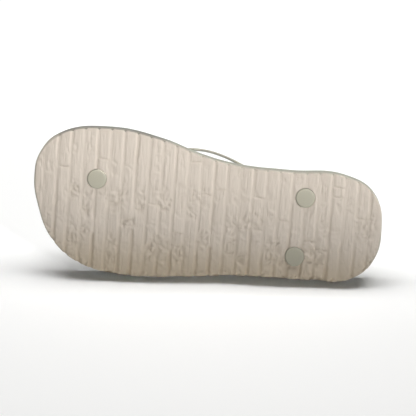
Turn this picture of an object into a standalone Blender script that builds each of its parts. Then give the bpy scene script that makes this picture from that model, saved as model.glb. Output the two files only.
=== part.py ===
"""Thong sandal for the right foot, lying on its outer side.

Every piece is modelled in the shoe's own frame: X runs from toe to heel, Y towards the outer side
of the foot and Z up from the ground that the sole would stand on. One empty then lays them down.
"""

import math

import bmesh
import bpy
from mathutils import Matrix, Vector

MM = 0.001
GAP = 0.3 * MM  # between pieces that touch
ROOM = 1.0 * MM  # how far a cutter runs past what it cuts
CUTTER_REACH = 70.0 * MM  # past both edges of the sole
SAME = 0.02 * MM  # places closer than this count as one
FACES_THAT_WAY = 0.8  # share of a normal along an axis

# Sole
OUTSOLE_THICK = 5.0 * MM
FOOTBED_THICK_FRONT = 8.6 * MM
FOOTBED_THICK_HEEL = 10.4 * MM
THICKENS_FROM = -30.0 * MM  # where the footbed begins to thicken, and where it is done
THICKENS_TO = 60.0 * MM
TOE_SPRING = 3.5 * MM
TOE_SPRING_FROM = -84.0 * MM
ARCH_RISE = 1.6 * MM
ARCH_MIDDLE = 6.0 * MM
ARCH_REACH = 46.0 * MM
HEEL_ROLL = 1.2 * MM
HEEL_ROLL_FROM = 92.0 * MM
SOLE_FRONT = -120.3 * MM
SOLE_BACK = 119.7 * MM
OUTLINE_STEPS = 5  # segments between two points of the outline
OUTSOLE_EDGE = 0.9 * MM
FOOTBED_EDGE = 1.8 * MM

# Outline of the sole, going round from the toe by the inner side
OUTLINE = (
    # place, X mm, Y mm
    ("toe tip", -120.3, -9.0),
    ("big toe", -117.0, -26.3),
    ("front of inner ball", -103.5, -39.9),
    ("inner ball", -71.0, -46.0),
    ("behind inner ball", -33.5, -40.5),
    ("into the waist", -8.5, -32.1),
    ("inner waist", 15.8, -26.7),
    ("inner heel front", 55.0, -25.0),
    ("inner heel", 92.0, -24.6),
    ("inner heel corner", 113.5, -13.0),
    ("heel tip", 119.7, 9.0),
    ("outer heel corner", 115.2, 33.4),
    ("outer heel", 101.0, 46.3),
    ("outer heel front", 73.0, 48.6),
    ("outer waist", 24.0, 49.6),
    ("behind outer ball", -14.0, 53.2),
    ("outer ball", -50.0, 54.9),
    ("front of outer ball", -82.5, 49.9),
    ("little toes", -104.8, 34.4),
    ("front of toes", -117.0, 9.5),
)

# Boards of the underside: grooves straight across, every third one deeper
GROOVE_COUNT = 26
GROOVE_FIRST = -113.6 * MM
GROOVE_PITCH = 8.97 * MM
GROOVE_TOP = 2.2 * MM
GROOVE_FLOOR = 0.7 * MM
GROOVE_DEPTH = 1.0 * MM
DEEP_GROOVE_DEPTH = 1.4 * MM
DEEP_GROOVE_EVERY = 3
NOTCH_DEPTH = 0.8 * MM  # the same grooves run a little way up the sole's side
NOTCH_WIDE = 2.0 * MM
NOTCH_HIGH = 3.2 * MM

# Strap: plugs under the sole, stems through it
PLUG_RADIUS = 6.6 * MM
PLUG_THICK = 2.8 * MM
PLUG_PROUD = 0.8 * MM
PLUG_EDGE = 0.7 * MM
STEM_RADIUS = 2.6 * MM
STEM_TOP = 18.4 * MM  # inside the foot of each limb
ROUND_STEPS = 32
STEM_STEPS = 20
TOE_PLUG = (-77.1 * MM, -10.9 * MM)
INNER_PLUG = (65.9 * MM, -8.4 * MM)
OUTER_PLUG = (61.7 * MM, 32.9 * MM)

# Strap: middle line and section of each length, from front to back.
# Lean is how far the top edge of the band leans in over the foot from upright.
POST = (
    # place, X mm, Y mm, Z mm, broad mm, thick mm, lean degrees
    ("under the fork", -75.6, -11.0, 30.6, 5.6, 4.8, 0.0),
    ("upper post", -75.9, -11.0, 27.0, 5.2, 4.6, 0.0),
    ("lower post", -76.9, -10.9, 20.0, 5.0, 4.8, 0.0),
    ("at the footbed", -77.1, -10.9, 14.3, 6.0, 6.0, 0.0),
)
INNER_LIMB = (
    ("fork", -75.6, -11.2, 30.9, 4.8, 4.4, 46.0),
    ("front", -67.0, -13.4, 33.6, 6.2, 3.8, 48.0),
    ("toes", -47.0, -20.8, 39.0, 7.2, 2.7, 36.0),
    ("side of ball", -25.0, -27.7, 42.6, 7.8, 2.1, 18.0),
    ("top of bow", -7.0, -29.1, 43.9, 8.2, 1.9, 11.0),
    ("instep", 10.0, -25.8, 41.1, 8.4, 1.9, 10.5),
    ("coming down", 30.0, -18.2, 34.0, 8.6, 2.3, 8.0),
    ("above anchor", 49.0, -11.8, 26.0, 8.4, 3.0, 4.0),
    ("foot of limb", 60.0, -9.6, 21.9, 7.6, 3.6, 2.0),
    ("knuckle", 64.5, -8.7, 20.0, 6.2, 4.6, 0.0),
    ("anchor", 65.9, -8.4, 17.0, 5.2, 5.2, 0.0),
)
OUTER_LIMB = (
    ("fork", -75.6, -10.8, 30.9, 4.8, 4.4, 46.0),
    ("front", -67.4, -7.0, 33.6, 6.2, 3.8, 48.0),
    ("toes", -50.0, 7.4, 37.4, 7.2, 2.7, 38.0),
    ("side of ball", -31.0, 22.4, 40.0, 7.8, 2.1, 22.0),
    ("top of bow", -10.0, 34.6, 41.2, 8.2, 2.0, 14.0),
    ("instep", 11.0, 40.2, 40.2, 8.4, 2.1, 10.5),
    ("coming down", 30.0, 40.4, 34.8, 8.6, 2.4, 8.0),
    ("above anchor", 46.0, 37.8, 27.0, 8.4, 3.0, 4.0),
    ("foot of limb", 56.4, 34.8, 22.0, 7.6, 3.6, 2.0),
    ("knuckle", 60.5, 33.4, 20.0, 6.2, 4.6, 0.0),
    ("anchor", 61.7, 32.9, 17.0, 5.2, 5.2, 0.0),
)
FORK_MIDDLE = (-75.5 * MM, -11.0 * MM, 30.7 * MM)
FORK_RADIUS = 3.3 * MM
BAND_STEPS = 4  # sections between two rows of a table
BAND_SIDES = 14  # points round a section
BAND_SQUARE = 0.62  # 1 is an ellipse, 0 a rectangle

CREAM = (0.665, 0.604, 0.521)
GREY_GREEN = (0.500, 0.482, 0.380)


def clear_scene():
    for old in list(bpy.data.objects):
        bpy.data.objects.remove(old)


def new_collection(name):
    made = bpy.data.collections.new(name)
    bpy.context.scene.collection.children.link(made)
    return made


def new_material(name, colour, roughness):
    material = bpy.data.materials.new(name)
    material.use_nodes = True
    shader = material.node_tree.nodes["Principled BSDF"]
    shader.inputs["Base Color"].default_value = (*colour, 1.0)
    shader.inputs["Roughness"].default_value = roughness
    shader.inputs["Metallic"].default_value = 0.0
    return material


def new_object(name, bm, collection):
    mesh = bpy.data.meshes.new(name)
    bmesh.ops.recalc_face_normals(bm, faces=bm.faces)
    bm.to_mesh(mesh)
    bm.free()
    made = bpy.data.objects.new(name, mesh)
    collection.objects.link(made)
    return made


def new_helper(name, bm):
    made = new_object(name, bm, helpers)
    made.hide_render = True
    made.display_type = "WIRE"
    return made


def add_boolean(node, other, operation):
    modifier = node.modifiers.new(other.name, "BOOLEAN")
    modifier.operation = operation
    modifier.object = other


def freeze(node):
    """Gives the object the mesh that its modifiers make, and takes the modifiers off."""
    graph = bpy.context.evaluated_depsgraph_get()
    mesh = bpy.data.meshes.new_from_object(node.evaluated_get(graph))
    node.modifiers.clear()
    node.data = mesh


def smooth_ramp(share):
    share = min(max(share, 0.0), 1.0)
    return share * share * (3.0 - 2.0 * share)


def sole_rise(x):
    """How far the sole's underside is above the ground at X: toe spring, arch and heel roll."""
    rise = 0.0
    if x < TOE_SPRING_FROM:
        rise += TOE_SPRING * ((TOE_SPRING_FROM - x) / (TOE_SPRING_FROM - SOLE_FRONT)) ** 2
    if abs(x - ARCH_MIDDLE) < ARCH_REACH:
        rise += ARCH_RISE * math.cos(math.pi * (x - ARCH_MIDDLE) / (2.0 * ARCH_REACH)) ** 2
    if x > HEEL_ROLL_FROM:
        rise += HEEL_ROLL * ((x - HEEL_ROLL_FROM) / (SOLE_BACK - HEEL_ROLL_FROM)) ** 2
    return rise


def footbed_thick(x):
    share = smooth_ramp((x - THICKENS_FROM) / (THICKENS_TO - THICKENS_FROM))
    return FOOTBED_THICK_FRONT + share * (FOOTBED_THICK_HEEL - FOOTBED_THICK_FRONT)


def footbed_top(x):
    return sole_rise(x) + OUTSOLE_THICK + GAP + footbed_thick(x)


def groove_places():
    return [GROOVE_FIRST + number * GROOVE_PITCH for number in range(GROOVE_COUNT)]


def sole_plate(name, thick):
    """A flat plate with the sole's outline, from Z 0 up, cut into strips along the grooves."""
    curve = bpy.data.curves.new(name, "CURVE")
    curve.dimensions = "2D"
    curve.fill_mode = "BOTH"
    curve.extrude = thick / 2.0
    curve.resolution_u = OUTLINE_STEPS
    spline = curve.splines.new("BEZIER")
    spline.bezier_points.add(len(OUTLINE) - 1)
    spline.use_cyclic_u = True
    for point, (_, x, y) in zip(spline.bezier_points, OUTLINE):
        point.co = (x * MM, y * MM, 0.0)
        point.handle_left_type = "AUTO"
        point.handle_right_type = "AUTO"
    drawn = bpy.data.objects.new(name + "_outline", curve)
    helpers.objects.link(drawn)
    graph = bpy.context.evaluated_depsgraph_get()
    mesh = bpy.data.meshes.new_from_object(drawn.evaluated_get(graph))
    bpy.data.objects.remove(drawn)
    bm = bmesh.new()
    bm.from_mesh(mesh)
    bpy.data.meshes.remove(mesh)
    bmesh.ops.remove_doubles(bm, verts=bm.verts, dist=SAME / 2.0)
    level = {face for face in bm.faces if abs(face.normal.z) > FACES_THAT_WAY}
    inside = [edge for edge in bm.edges if all(face in level for face in edge.link_faces)]
    bmesh.ops.dissolve_edges(bm, edges=inside)
    bmesh.ops.translate(bm, verts=bm.verts, vec=(0.0, 0.0, thick / 2.0))
    return bm


def round_rim(bm, z, width, segments):
    """Rounds the edge that runs round the plate at height z."""
    rim = [edge for edge in bm.edges if all(abs(vert.co.z - z) < SAME for vert in edge.verts)]
    bmesh.ops.bevel(bm, geom=rim, offset=width, segments=segments, profile=0.5, affect="EDGES")


def cut_into_strips(bm):
    for x in groove_places():
        whole = bm.verts[:] + bm.edges[:] + bm.faces[:]
        bmesh.ops.bisect_plane(bm, geom=whole, dist=SAME / 2.0, plane_co=(x, 0, 0), plane_no=(1, 0, 0))


def add_prism(bm, section, way):
    """A straight bar: the flat section, given as points, carried along the vector way."""
    ring = [bm.verts.new(point) for point in section]
    bottom = bm.faces.new(ring)
    top = bmesh.ops.extrude_face_region(bm, geom=[bottom], use_keep_orig=True)["geom"]
    moved = [part for part in top if isinstance(part, bmesh.types.BMVert)]
    bmesh.ops.translate(bm, verts=moved, vec=way)


def groove_cutter():
    """One bar for each groove, as long as the sole is broad."""
    bm = bmesh.new()
    for number, x in enumerate(groove_places()):
        deep = DEEP_GROOVE_DEPTH if number % DEEP_GROOVE_EVERY == 1 else GROOVE_DEPTH
        flare = (GROOVE_TOP - GROOVE_FLOOR) / 2.0 * ROOM / deep
        mouth = GROOVE_TOP / 2.0 + flare
        floor = GROOVE_FLOOR / 2.0
        section = [
            (x - mouth, -CUTTER_REACH, -ROOM),
            (x + mouth, -CUTTER_REACH, -ROOM),
            (x + floor, -CUTTER_REACH, deep),
            (x - floor, -CUTTER_REACH, deep),
        ]
        add_prism(bm, section, (0.0, 2.0 * CUTTER_REACH, 0.0))
    return new_helper("groove_cutter", bm)


def side_reach(bm, x):
    """The lowest and highest Y of a plate at X."""
    across = [vert.co.y for vert in bm.verts if abs(vert.co.x - x) < SAME]
    return min(across), max(across)


def notch_cutter(plate):
    """A short upright bar at both ends of each groove, where it turns up the sole's side."""
    bm = bmesh.new()
    half = NOTCH_WIDE / 2.0
    for x in groove_places():
        inner, outer = side_reach(plate, x)
        for edge, way in ((inner, -1.0), (outer, 1.0)):
            mouth = edge + way * ROOM
            apex = edge - way * NOTCH_DEPTH
            flare = half * (1.0 + ROOM / NOTCH_DEPTH)
            section = [(x - flare, mouth, -ROOM), (x + flare, mouth, -ROOM), (x, apex, -ROOM)]
            add_prism(bm, section, (0.0, 0.0, ROOM + NOTCH_HIGH))
    return new_helper("notch_cutter", bm)


def add_cylinder(bm, place, low, high, radius, steps):
    middle = Matrix.Translation((place[0], place[1], (low + high) / 2.0))
    bmesh.ops.create_cone(
        bm,
        cap_ends=True,
        segments=steps,
        radius1=radius,
        radius2=radius,
        depth=high - low,
        matrix=middle,
    )


def counterbore_cutter():
    bm = bmesh.new()
    for place in (TOE_PLUG, INNER_PLUG, OUTER_PLUG):
        top = sole_rise(place[0]) - PLUG_PROUD + PLUG_THICK + GAP
        add_cylinder(bm, place, -ROOM, top, PLUG_RADIUS + GAP, ROUND_STEPS)
    return new_helper("counterbore_cutter", bm)


def stem_cutter():
    bm = bmesh.new()
    for place in (TOE_PLUG, INNER_PLUG, OUTER_PLUG):
        add_cylinder(bm, place, -ROOM, footbed_top(place[0]) + ROOM, STEM_RADIUS + GAP, STEM_STEPS)
    return new_helper("stem_cutter", bm)


def bend_sole(node, base, thick_at, flat_thick):
    """Lifts a flat plate to its base and the sole's rise, and gives it its thickness along X."""
    for vert in node.data.vertices:
        x = vert.co.x
        vert.co.z = base + sole_rise(x) + vert.co.z * thick_at(x) / flat_thick


def outsole_thick(_):
    return OUTSOLE_THICK


def make_outsole(stem_holes):
    bm = sole_plate("outsole", OUTSOLE_THICK)
    round_rim(bm, 0.0, OUTSOLE_EDGE, 2)
    cut_into_strips(bm)
    notches = notch_cutter(bm)
    node = new_object("outsole", bm, pieces)
    add_boolean(node, groove_cutter(), "DIFFERENCE")
    add_boolean(node, notches, "DIFFERENCE")
    freeze(node)
    bend_sole(node, 0.0, outsole_thick, OUTSOLE_THICK)
    add_boolean(node, counterbore_cutter(), "DIFFERENCE")
    add_boolean(node, stem_holes, "DIFFERENCE")
    node.data.materials.append(new_material("outsole_rubber", CREAM, 0.62))
    return node


def make_footbed(stem_holes):
    bm = sole_plate("footbed", FOOTBED_THICK_FRONT)
    round_rim(bm, FOOTBED_THICK_FRONT, FOOTBED_EDGE, 3)
    cut_into_strips(bm)
    node = new_object("footbed", bm, pieces)
    bend_sole(node, OUTSOLE_THICK + GAP, footbed_thick, FOOTBED_THICK_FRONT)
    add_boolean(node, stem_holes, "DIFFERENCE")
    node.data.materials.append(new_material("footbed_foam", GREY_GREEN, 0.7))
    return node


def between_rows(before, start, end, after, share):
    """A smooth curve through the rows of a table, column by column."""
    values = []
    for p0, p1, p2, p3 in zip(before, start, end, after):
        bend = 2.0 * p0 - 5.0 * p1 + 4.0 * p2 - p3
        twist = 3.0 * p1 - p0 - 3.0 * p2 + p3
        values.append(0.5 * (2.0 * p1 + (p2 - p0) * share + bend * share**2 + twist * share**3))
    return values


def fill_rows(table):
    rows = [row[1:] for row in table]
    filled = []
    last = len(rows) - 1
    for number in range(last):
        around = (rows[max(number - 1, 0)], rows[number], rows[number + 1], rows[min(number + 2, last)])
        for step in range(BAND_STEPS):
            filled.append(between_rows(*around, step / BAND_STEPS))
    filled.append(list(rows[last]))
    return filled


def band_section(row, along, inward):
    """The points round the band at one place: a rounded rectangle, square to its middle line."""
    x, y, z, broad, thick, lean = row
    upright = (Vector((0.0, 0.0, 1.0)) - along * along.z).normalized()
    sideways = upright.cross(along) * inward
    turn = math.radians(lean)
    across = upright * math.cos(turn) + sideways * math.sin(turn)
    through = along.cross(across)
    points = []
    for number in range(BAND_SIDES):
        angle = 2.0 * math.pi * (number + 0.5) / BAND_SIDES
        cos, sin = math.cos(angle), math.sin(angle)
        out = math.copysign(abs(cos) ** BAND_SQUARE, cos) * broad / 2.0
        off = math.copysign(abs(sin) ** BAND_SQUARE, sin) * thick / 2.0
        points.append((Vector((x, y, z)) + across * out + through * off) * MM)
    return points


def add_band(bm, table, inward):
    rows = fill_rows(table)
    middles = [Vector(row[:3]) for row in rows]
    rings = []
    for number, row in enumerate(rows):
        ahead = middles[min(number + 1, len(rows) - 1)]
        behind = middles[max(number - 1, 0)]
        along = (ahead - behind).normalized()
        rings.append([bm.verts.new(point) for point in band_section(row, along, inward)])
    for ring, following in zip(rings, rings[1:]):
        for side in range(BAND_SIDES):
            turn = (side + 1) % BAND_SIDES
            bm.faces.new((ring[side], ring[turn], following[turn], following[side]))
    bm.faces.new(rings[0])
    bm.faces.new(rings[-1])


def strap_length(name, table, inward):
    bm = bmesh.new()
    add_band(bm, table, inward)
    return new_helper(name, bm)


def plug(name, place):
    bm = bmesh.new()
    low = sole_rise(place[0]) - PLUG_PROUD
    add_cylinder(bm, place, low, low + PLUG_THICK, PLUG_RADIUS, ROUND_STEPS)
    round_rim(bm, low, PLUG_EDGE, 2)
    return new_helper(name, bm)


def fork_knob(name):
    bm = bmesh.new()
    middle = Matrix.Translation(FORK_MIDDLE)
    bmesh.ops.create_uvsphere(bm, u_segments=20, v_segments=12, radius=FORK_RADIUS, matrix=middle)
    return new_helper(name, bm)


def stem(name, place, top):
    bm = bmesh.new()
    low = sole_rise(place[0]) - PLUG_PROUD + PLUG_THICK / 2.0
    add_cylinder(bm, place, low, top, STEM_RADIUS, STEM_STEPS)
    return new_helper(name, bm)


def make_strap():
    bm = bmesh.new()
    add_band(bm, OUTER_LIMB, -1.0)
    node = new_object("strap", bm, pieces)
    fused = (
        strap_length("inner_limb", INNER_LIMB, 1.0),
        strap_length("toe_post", POST, 1.0),
        fork_knob("fork"),
        stem("toe_stem", TOE_PLUG, STEM_TOP),
        stem("inner_stem", INNER_PLUG, STEM_TOP),
        stem("outer_stem", OUTER_PLUG, STEM_TOP),
        plug("toe_plug", TOE_PLUG),
        plug("inner_plug", INNER_PLUG),
        plug("outer_plug", OUTER_PLUG),
    )
    for piece in fused:
        add_boolean(node, piece, "UNION")
    node.data.materials.append(new_material("strap_pvc", GREY_GREEN, 0.45))
    return node


def smooth_faces(node, angle):
    freeze(node)
    node.data.shade_smooth()
    node.data.set_sharp_from_angle(angle=math.radians(angle))


def lay_on_outer_side(nodes):
    """Puts the sandal on the plane that touches its outer edge twice and its outer limb once."""
    points = [vert.co.copy() for node in nodes for vert in node.data.vertices]
    hull = bmesh.new()
    for point in points:
        hull.verts.new(point)
    bmesh.ops.convex_hull(hull, input=hull.verts)
    outward = [face for face in hull.faces if face.normal.y > FACES_THAT_WAY]
    floor = max(outward, key=lambda face: face.calc_area())
    down = floor.normal.copy()
    longest = max(floor.edges, key=lambda edge: edge.calc_length())
    run = longest.verts[0].co - longest.verts[1].co
    hull.free()
    row_x = (run if run.x > 0.0 else -run).normalized()
    row_z = -down
    row_y = row_z.cross(row_x)
    turn = Matrix((row_x, row_y, row_z)).to_4x4()
    turned = [turn @ point for point in points]
    low = [min(point[axis] for point in turned) for axis in range(3)]
    high = [max(point[axis] for point in turned) for axis in range(3)]
    shift = Vector((-(low[0] + high[0]) / 2.0, -(low[1] + high[1]) / 2.0, -low[2]))
    placement = bpy.data.objects.new("sandal_placement", None)
    placement.empty_display_size = 0.05
    pieces.objects.link(placement)
    placement.matrix_world = Matrix.Translation(shift) @ turn
    for node in nodes:
        node.parent = placement


clear_scene()
pieces = new_collection("thong_sandal")
helpers = new_collection("cutters")
stem_holes = stem_cutter()
outsole = make_outsole(stem_holes)
footbed = make_footbed(stem_holes)
strap = make_strap()
smooth_faces(outsole, 30.0)
smooth_faces(footbed, 30.0)
smooth_faces(strap, 50.0)
lay_on_outer_side((outsole, footbed, strap))
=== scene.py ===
import math

import bpy
import numpy as np
from mathutils import Matrix, Quaternion, Vector, noise


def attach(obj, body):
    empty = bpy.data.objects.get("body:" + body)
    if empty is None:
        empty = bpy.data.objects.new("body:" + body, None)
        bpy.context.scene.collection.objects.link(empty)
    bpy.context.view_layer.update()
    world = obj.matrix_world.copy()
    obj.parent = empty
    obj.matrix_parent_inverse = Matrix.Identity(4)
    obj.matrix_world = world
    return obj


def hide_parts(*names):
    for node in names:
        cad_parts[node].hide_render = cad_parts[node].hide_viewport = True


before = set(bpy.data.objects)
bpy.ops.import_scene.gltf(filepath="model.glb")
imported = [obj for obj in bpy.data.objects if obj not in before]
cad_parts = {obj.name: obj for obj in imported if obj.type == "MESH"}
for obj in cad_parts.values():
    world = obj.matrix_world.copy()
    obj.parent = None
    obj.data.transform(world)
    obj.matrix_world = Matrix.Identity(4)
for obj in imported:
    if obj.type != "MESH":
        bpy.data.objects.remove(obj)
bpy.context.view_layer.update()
mm = 0.001

# The shoe's own frame is X toe to heel, Y to the outer side, Z up from the tread. This turns it into the
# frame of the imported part, where the sandal lies on its outer side.
lieDown = Matrix((
    (0.998748, -0.048431, 0.012527, 0.000225),
    (-0.029072, -0.358144, 0.933214, -0.017775),
    (-0.040710, -0.932409, -0.359104, 0.054218),
    (0.0, 0.0, 0.0, 1.0),
))


def pickOnly(obj):
    bpy.ops.object.select_all(action="DESELECT")
    obj.select_set(True)
    bpy.context.view_layer.objects.active = obj


def getPlaces(obj):
    flat = np.zeros(len(obj.data.vertices) * 3)
    obj.data.vertices.foreach_get("co", flat)
    return flat.reshape(-1, 3)


def setPlaces(obj, places):
    obj.data.vertices.foreach_set("co", np.asarray(places, float).ravel())
    obj.data.update()


def writeShare(obj, name, values):
    # one number for each point of the mesh, which a material reads by this name
    mark = obj.data.attributes.new(name, "FLOAT", "POINT")
    mark.data.foreach_set("value", np.asarray(values).astype(np.float32))


def selectVerts(obj, chosen):
    # in object mode: exactly these vertices, and the edges and faces that they close
    mesh = obj.data
    chosen = np.asarray(chosen, bool)
    mesh.vertices.foreach_set("select", chosen)
    ends = np.zeros(len(mesh.edges) * 2, int)
    mesh.edges.foreach_get("vertices", ends)
    mesh.edges.foreach_set("select", chosen[ends.reshape(-1, 2)].all(axis=1))
    for face in mesh.polygons:
        face.select = bool(chosen[list(face.vertices)].all())


def turnOutwards(obj):
    pickOnly(obj)
    bpy.ops.object.mode_set(mode="EDIT")
    bpy.ops.mesh.select_all(action="SELECT")
    bpy.ops.mesh.normals_make_consistent(inside=False)
    bpy.ops.mesh.select_all(action="DESELECT")
    bpy.ops.object.mode_set(mode="OBJECT")


def booleanWith(obj, cutter, operation):
    pickOnly(obj)
    step = obj.modifiers.new("fit", "BOOLEAN")
    step.operation = operation
    step.solver = "EXACT"
    step.object = cutter
    bpy.ops.object.modifier_apply(modifier=step.name)
    bpy.data.objects.remove(cutter)


def addPost(x, y, low, high, radius, sides):
    # a round bar standing in the shoe's frame, all in mm
    bpy.ops.object.select_all(action="DESELECT")
    bpy.ops.mesh.primitive_cylinder_add(
        vertices=sides,
        radius=radius * mm,
        depth=(high - low) * mm,
        location=(x * mm, y * mm, (low + high) / 2 * mm),
    )
    post = bpy.context.object
    bpy.ops.object.transform_apply(location=True, rotation=True, scale=True)
    return post


def joinAll(objs):
    bpy.ops.object.select_all(action="DESELECT")
    for obj in objs:
        obj.select_set(True)
    bpy.context.view_layer.objects.active = objs[0]
    bpy.ops.object.join()
    return objs[0]


def smoothRamp(share):
    share = np.clip(share, 0.0, 1.0)
    return share * share * (3.0 - 2.0 * share)


def rampFrom(values, ramp):
    # from 0 at the ramp's start to 1 at its length past that; a negative length runs the other way
    start, length = ramp
    return smoothRamp((values - start) / length)


# Sole: outline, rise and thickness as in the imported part, all in mm.
sole = {
    "outline": [
        (-120.3, -9.0), (-117.0, -26.3), (-103.5, -39.9), (-71.0, -46.0), (-33.5, -40.5),
        (-8.5, -32.1), (15.8, -26.7), (55.0, -25.0), (92.0, -24.6), (113.5, -13.0),
        (119.7, 9.0), (115.2, 33.4), (101.0, 46.3), (73.0, 48.6), (24.0, 49.6),
        (-14.0, 53.2), (-50.0, 54.9), (-82.5, 49.9), (-104.8, 34.4), (-117.0, 9.5),
    ],
    "outlineSteps": 24,
    "toeEnd": -120.3,
    "heelEnd": 119.7,
    "toeSpring": (3.5, -84.0),   # how high, and from where
    "archRise": (1.6, 6.0, 92.0),   # how high, middle and length
    "heelRoll": (1.2, 92.0),
    "outsoleThick": 5.0,
    "footbedFront": 8.6,
    "footbedHeel": 10.4,
    "footbedRamp": (-30.0, 90.0),
    "glueGap": 0.3,
    "fitGap": 0.3,
    "plugs": [(-77.1, -10.9), (65.9, -8.4), (61.7, 32.9)],
    "plugRadius": 6.6,
    "plugProud": 1.0,
    "plugThick": 2.8,
    "plugSides": 96,
    "stemRadius": 2.6,
    "stemSides": 40,
    "sideLitToe": (-101.0, -8.0),   # where the side is painted lighter, as painted light: from where, and over what length
    "sideLitWaist": (-42.0, 38.0),
    "cutPast": 2.0,   # how far a cutter stands past what it cuts
    "gridAlong": (-121.0, 121.0),
    "gridAcross": (-46.8, 55.6),
    "gridClear": 0.12,   # room between the grid and the rim's first ring
    "gridMerge": 0.13,
}


def soleRise(x):
    # toe spring, arch and heel roll of the tread
    (toeHigh, toeFrom), (archHigh, middle, length) = sole["toeSpring"], sole["archRise"]
    heelHigh, heelFrom = sole["heelRoll"]
    toe = toeHigh * np.clip((toeFrom - x) / (toeFrom - sole["toeEnd"]), 0.0, None) ** 2
    wave = archHigh * np.cos(np.pi * (x - middle) / length) ** 2
    arch = np.where(np.abs(x - middle) < length / 2.0, wave, 0.0)
    heel = heelHigh * np.clip((x - heelFrom) / (sole["heelEnd"] - heelFrom), 0.0, None) ** 2
    return toe + arch + heel


def footbedThick(x):
    front, heel = sole["footbedFront"], sole["footbedHeel"]
    return front + rampFrom(x, sole["footbedRamp"]) * (heel - front)


def drawOutline():
    # one closed curve with smooth handles through the outline's points, read back as a fine loop
    bpy.ops.object.select_all(action="DESELECT")
    bpy.ops.curve.primitive_bezier_circle_add(radius=1.0)
    drawn = bpy.context.object
    spline = drawn.data.splines[0]
    spline.bezier_points.add(len(sole["outline"]) - len(spline.bezier_points))
    for point, (x, y) in zip(spline.bezier_points, sole["outline"]):
        point.handle_left_type = "AUTO"
        point.handle_right_type = "AUTO"
        point.co = (x, y, 0.0)
    drawn.data.resolution_u = sole["outlineSteps"]
    bpy.ops.object.convert(target="MESH")
    loop = getPlaces(bpy.context.object)[:, :2]
    bpy.data.objects.remove(bpy.context.object)
    return loop


outlineLoop = drawOutline()


def toOutline(flat):
    # how far inside the outline each point is, the nearest point on it, and the way in from there
    start = outlineLoop
    end = np.roll(start, -1, axis=0)
    run = end - start
    length = (run**2).sum(1)
    turning = np.sign((start[:, 0] * end[:, 1] - start[:, 1] * end[:, 0]).sum())
    inward = np.stack([-run[:, 1], run[:, 0]], 1) / np.sqrt(length)[:, None] * turning
    deep, nearest, ways = [], [], []
    for part in np.array_split(flat, max(1, len(flat) // 2000)):   # in parts, to save memory
        away = part[:, None, :] - start[None]
        share = np.clip((away * run).sum(2) / length, 0.0, 1.0)
        gap = away - share[..., None] * run
        best = (gap**2).sum(2).argmin(1)
        rows = np.arange(len(part))
        near = start[best] + share[rows, best, None] * run[best]
        ahead = inward[(best + 1) % len(run)]
        behind = inward[best - 1]
        at = share[rows, best, None]
        way = inward[best] + np.where(at > 0.5, (at - 0.5) * ahead, (0.5 - at) * behind)
        way /= np.linalg.norm(way, axis=1)[:, None]
        deep.append(((part - near) * inward[best]).sum(1))
        nearest.append(near)
        ways.append(way)
    return np.concatenate(deep), np.concatenate(nearest), np.concatenate(ways)


def makeLayer(name, columns, rows, rim, wall, rimScale):
    # A plate with the sole's outline: a grid for its face at Z 0, rings that round its rim and go up its
    # wall, and a plain back. rim and wall are (inset, height) in mm, and rimScale is the rim's size at
    # each place.
    bpy.ops.object.select_all(action="DESELECT")
    bpy.ops.mesh.primitive_grid_add(
        x_subdivisions=len(columns) - 1, y_subdivisions=len(rows) - 1, size=1.0
    )
    plate = bpy.context.object
    plate.name = name
    plate.data.name = name
    x, y = np.meshgrid(columns, rows)
    places = np.stack([x.ravel(), y.ravel(), np.zeros(x.size)], 1)
    setPlaces(plate, places)
    deep, near, _ = toOutline(places[:, :2])
    selectVerts(plate, deep < rim[0][0] * rimScale(near) + sole["gridClear"])
    bpy.ops.object.mode_set(mode="EDIT")
    bpy.ops.mesh.delete(type="VERT")
    bpy.ops.mesh.select_all(action="SELECT")
    bpy.ops.mesh.delete_loose(use_verts=True, use_edges=True, use_faces=False)
    bpy.ops.mesh.select_all(action="DESELECT")
    bpy.ops.mesh.select_mode(type="VERT")
    bpy.ops.mesh.select_non_manifold(
        extend=False, use_wire=False, use_boundary=True,
        use_multi_face=False, use_non_contiguous=False, use_verts=False,
    )
    for number, (inset, height) in enumerate(rim + wall):
        if number:
            bpy.ops.mesh.extrude_region_move()
        bpy.ops.object.mode_set(mode="OBJECT")
        picked = np.zeros(len(plate.data.vertices), bool)
        plate.data.vertices.foreach_get("select", picked)
        places = getPlaces(plate)
        _, near, way = toOutline(places[picked][:, :2])
        scale = rimScale(near) if number < len(rim) else np.ones(len(near))
        places[picked] = np.column_stack([near + way * (scale * inset)[:, None], scale * height])
        setPlaces(plate, places)
        bpy.ops.object.mode_set(mode="EDIT")
        if not number:
            bpy.ops.mesh.remove_doubles(threshold=sole["gridMerge"])
    bpy.ops.mesh.edge_face_add()
    bpy.ops.object.mode_set(mode="OBJECT")
    turnOutwards(plate)
    setPlaces(plate, getPlaces(plate) * mm)
    return plate


def layDown(obj):
    obj.matrix_world = lieDown
    pickOnly(obj)
    bpy.ops.object.transform_apply(location=True, rotation=True, scale=True)


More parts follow.
